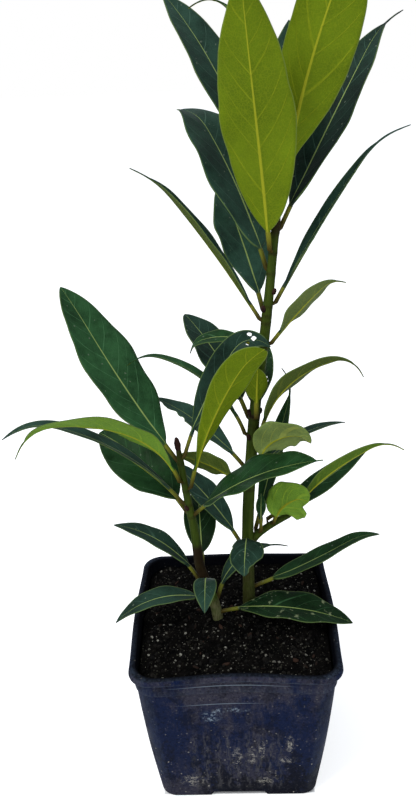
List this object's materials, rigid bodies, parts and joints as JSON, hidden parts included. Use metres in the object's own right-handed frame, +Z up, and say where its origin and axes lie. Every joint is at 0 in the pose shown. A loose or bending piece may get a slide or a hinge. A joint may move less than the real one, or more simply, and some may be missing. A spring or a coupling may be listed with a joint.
{
  "type": "bay laurel in a pot",
  "caption": "Young bay laurel with tall leafy stems and lance-shaped leaves in a square nursery pot filled with soil.",
  "frame": {"origin": "middle of the pot's flat underside", "axes": "+Z up along the stems, +Y to the back of the pot, +X to the viewer's right when the plant is seen from the front"},
  "size_m": [0.1638, 0.0972, 0.3491],
  "materials": {
    "pot_plastic": "dark blue-black moulded plastic with a dusty film",
    "compost": "moist crumbly potting compost with pale grains",
    "stem_bark": "smooth green to brown young bark",
    "leaf": "leathery, glossy dark green above, matt yellow-green below"
  },
  "bodies": {
    "root": {"pot": "pot_plastic", "soil": "compost", "main_stem": "stem_bark", "left_stem": "stem_bark", "main_leaf_01": "leaf", "main_leaf_02": "leaf", "main_leaf_03": "leaf", "main_leaf_04": "leaf", "main_leaf_05": "leaf", "main_leaf_06": "leaf", "main_leaf_07": "leaf", "main_leaf_08": "leaf", "main_leaf_09": "leaf", "main_leaf_10": "leaf", "main_leaf_11": "leaf", "main_leaf_12": "leaf", "main_leaf_13": "leaf", "main_leaf_14": "leaf", "main_leaf_15": "leaf", "main_leaf_16": "leaf", "main_leaf_17": "leaf", "main_leaf_18": "leaf", "main_leaf_19": "leaf", "main_leaf_20": "leaf", "main_leaf_21": "leaf", "main_leaf_22": "leaf", "main_leaf_23": "leaf", "main_leaf_24": "leaf", "side_leaf_1": "leaf", "side_leaf_2": "leaf", "side_leaf_3": "leaf", "side_leaf_4": "leaf", "side_leaf_5": "leaf", "left_leaf_01": "leaf", "left_leaf_02": "leaf", "left_leaf_03": "leaf", "left_leaf_04": "leaf", "left_leaf_05": "leaf", "left_leaf_06": "leaf", "left_leaf_07": "leaf", "left_leaf_08": "leaf", "left_leaf_09": "leaf", "left_leaf_10": "leaf", "left_leaf_11": "leaf", "left_leaf_12": "leaf", "left_leaf_13": "leaf"}
  },
  "joints": []
}
